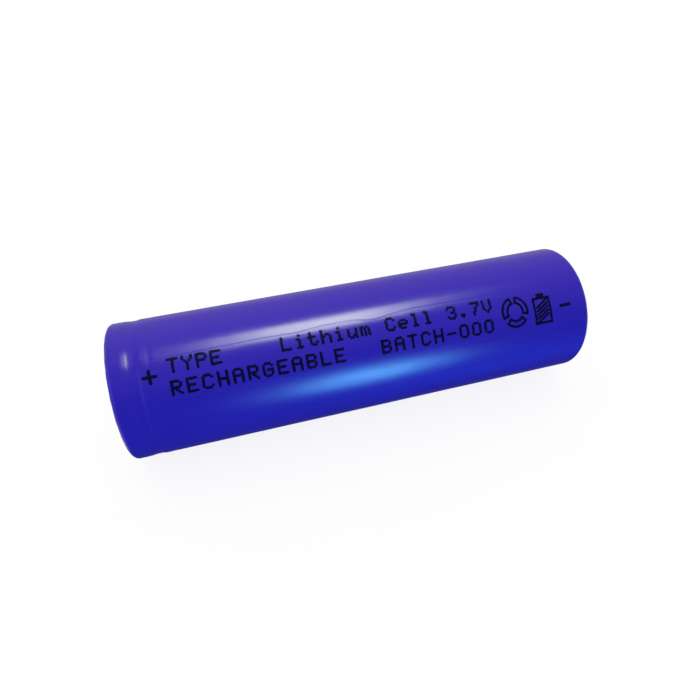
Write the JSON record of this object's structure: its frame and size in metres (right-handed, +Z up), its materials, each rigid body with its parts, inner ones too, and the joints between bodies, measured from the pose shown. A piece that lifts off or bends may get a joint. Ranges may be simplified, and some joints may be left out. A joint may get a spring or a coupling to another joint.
{
  "type": "cylindrical lithium-ion battery cell",
  "caption": "Cylindrical rechargeable cell: steel can in a shrink sleeve, crimped header with raised positive cap, flat negative end and a wound electrode roll inside.",
  "frame": {"origin": "on the cell's axis at mid-length, the centre of its outer box", "axes": "X along the axis with the positive end at -X and the negative end at +X; Z up with the cell lying on its side"},
  "size_m": [0.0652, 0.0184, 0.0184],
  "materials": {
    "sleeve_film": "satin",
    "insulating_paper": "matte",
    "nickel_plated_steel": "satin",
    "polypropylene": "matte",
    "aluminium": "satin",
    "ptc_polymer": "matte",
    "insulator_board": "matte",
    "centre_pin_steel": "satin",
    "separator_film": "matte",
    "copper_foil": "satin",
    "graphite_coat": "matte",
    "aluminium_foil": "satin",
    "oxide_coat": "matte",
    "roll_tape": "satin",
    "nickel_strip": "satin",
    "tab_tape": "satin"
  },
  "bodies": {
    "root": {"shrink_sleeve": "sleeve_film", "top_insulator_ring": "insulating_paper", "can": "nickel_plated_steel", "crimp_gasket": "polypropylene", "positive_cap": "nickel_plated_steel", "ptc_ring": "ptc_polymer", "vent_disc": "aluminium", "cid_insulator": "polypropylene", "cid_plate": "aluminium", "upper_insulator": "insulator_board", "lower_insulator": "insulator_board", "centre_pin": "centre_pin_steel", "separator_inner": "separator_film", "separator_outer": "separator_film", "anode_foil": "copper_foil", "anode_coat_inner": "graphite_coat", "anode_coat_outer": "graphite_coat", "cathode_foil": "aluminium_foil", "cathode_coat_inner": "oxide_coat", "cathode_coat_outer": "oxide_coat", "roll_tape": "roll_tape", "positive_tab": "aluminium", "negative_tab": "nickel_strip", "positive_tab_tape": "tab_tape", "negative_tab_tape": "tab_tape"}
  },
  "joints": []
}
